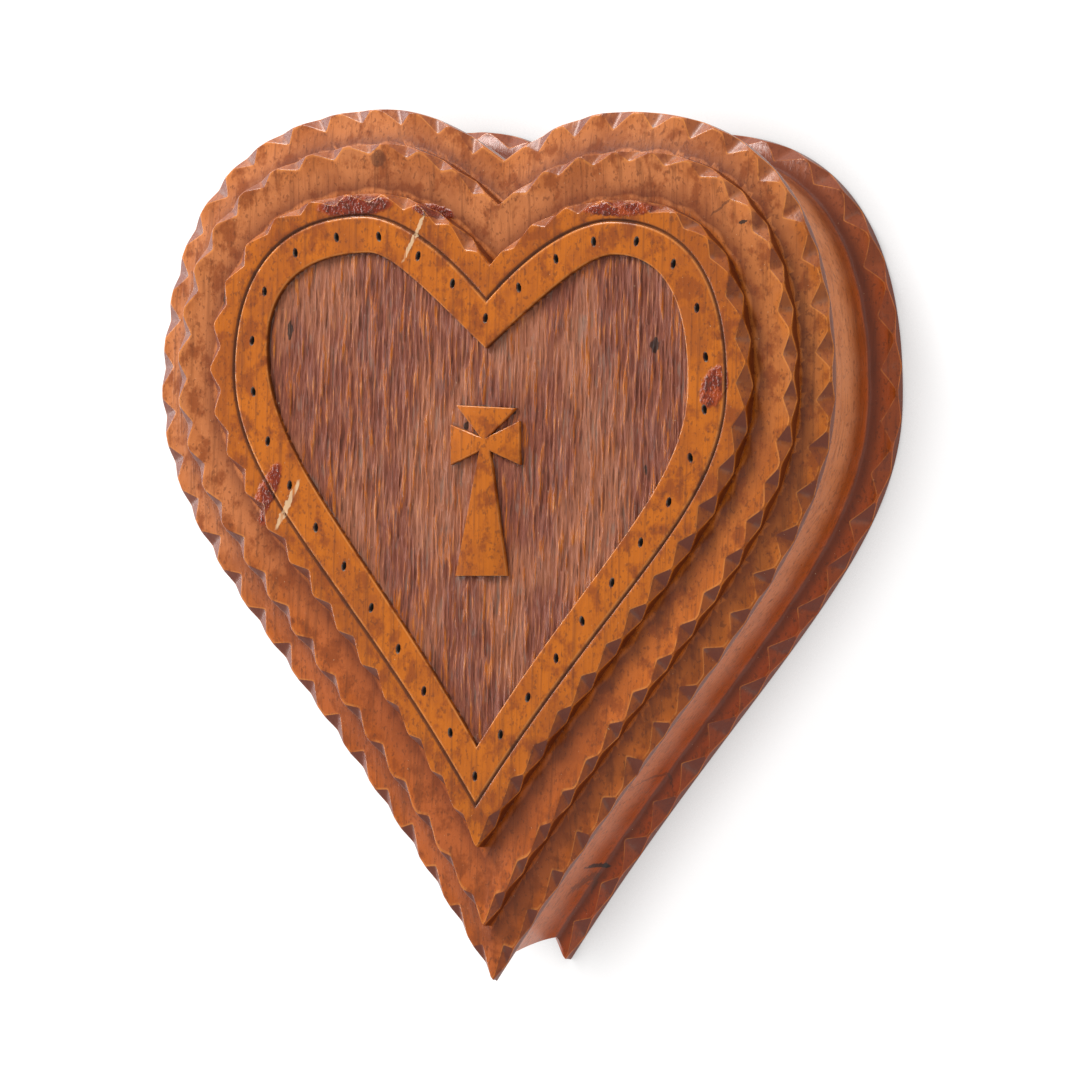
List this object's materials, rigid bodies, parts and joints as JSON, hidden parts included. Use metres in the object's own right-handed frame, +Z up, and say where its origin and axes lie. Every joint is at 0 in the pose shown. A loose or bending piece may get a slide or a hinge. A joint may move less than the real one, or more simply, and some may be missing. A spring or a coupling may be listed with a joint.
{
  "type": "chip carved heart box",
  "caption": "Shallow heart-shaped wooden box with a lift-off lid stepped in chip carved tiers round a sunk field with a small relief cross.",
  "frame": {"origin": "centre of the whole box's footprint, on the surface that it stands on", "axes": "+Z up out of the lid, +Y from the heart's tip to its lobes, +X to the right seen from above"},
  "size_m": [0.169, 0.1798, 0.036],
  "materials": {
    "lid_wood": "close-grained wood under an old amber varnish, worn to a satin sheen",
    "box_wood": "close-grained wood under an old amber varnish, darker in the hollows, bare inside"
  },
  "bodies": {
    "root": {"lid": "lid_wood", "box_body": "box_wood"}
  },
  "joints": []
}
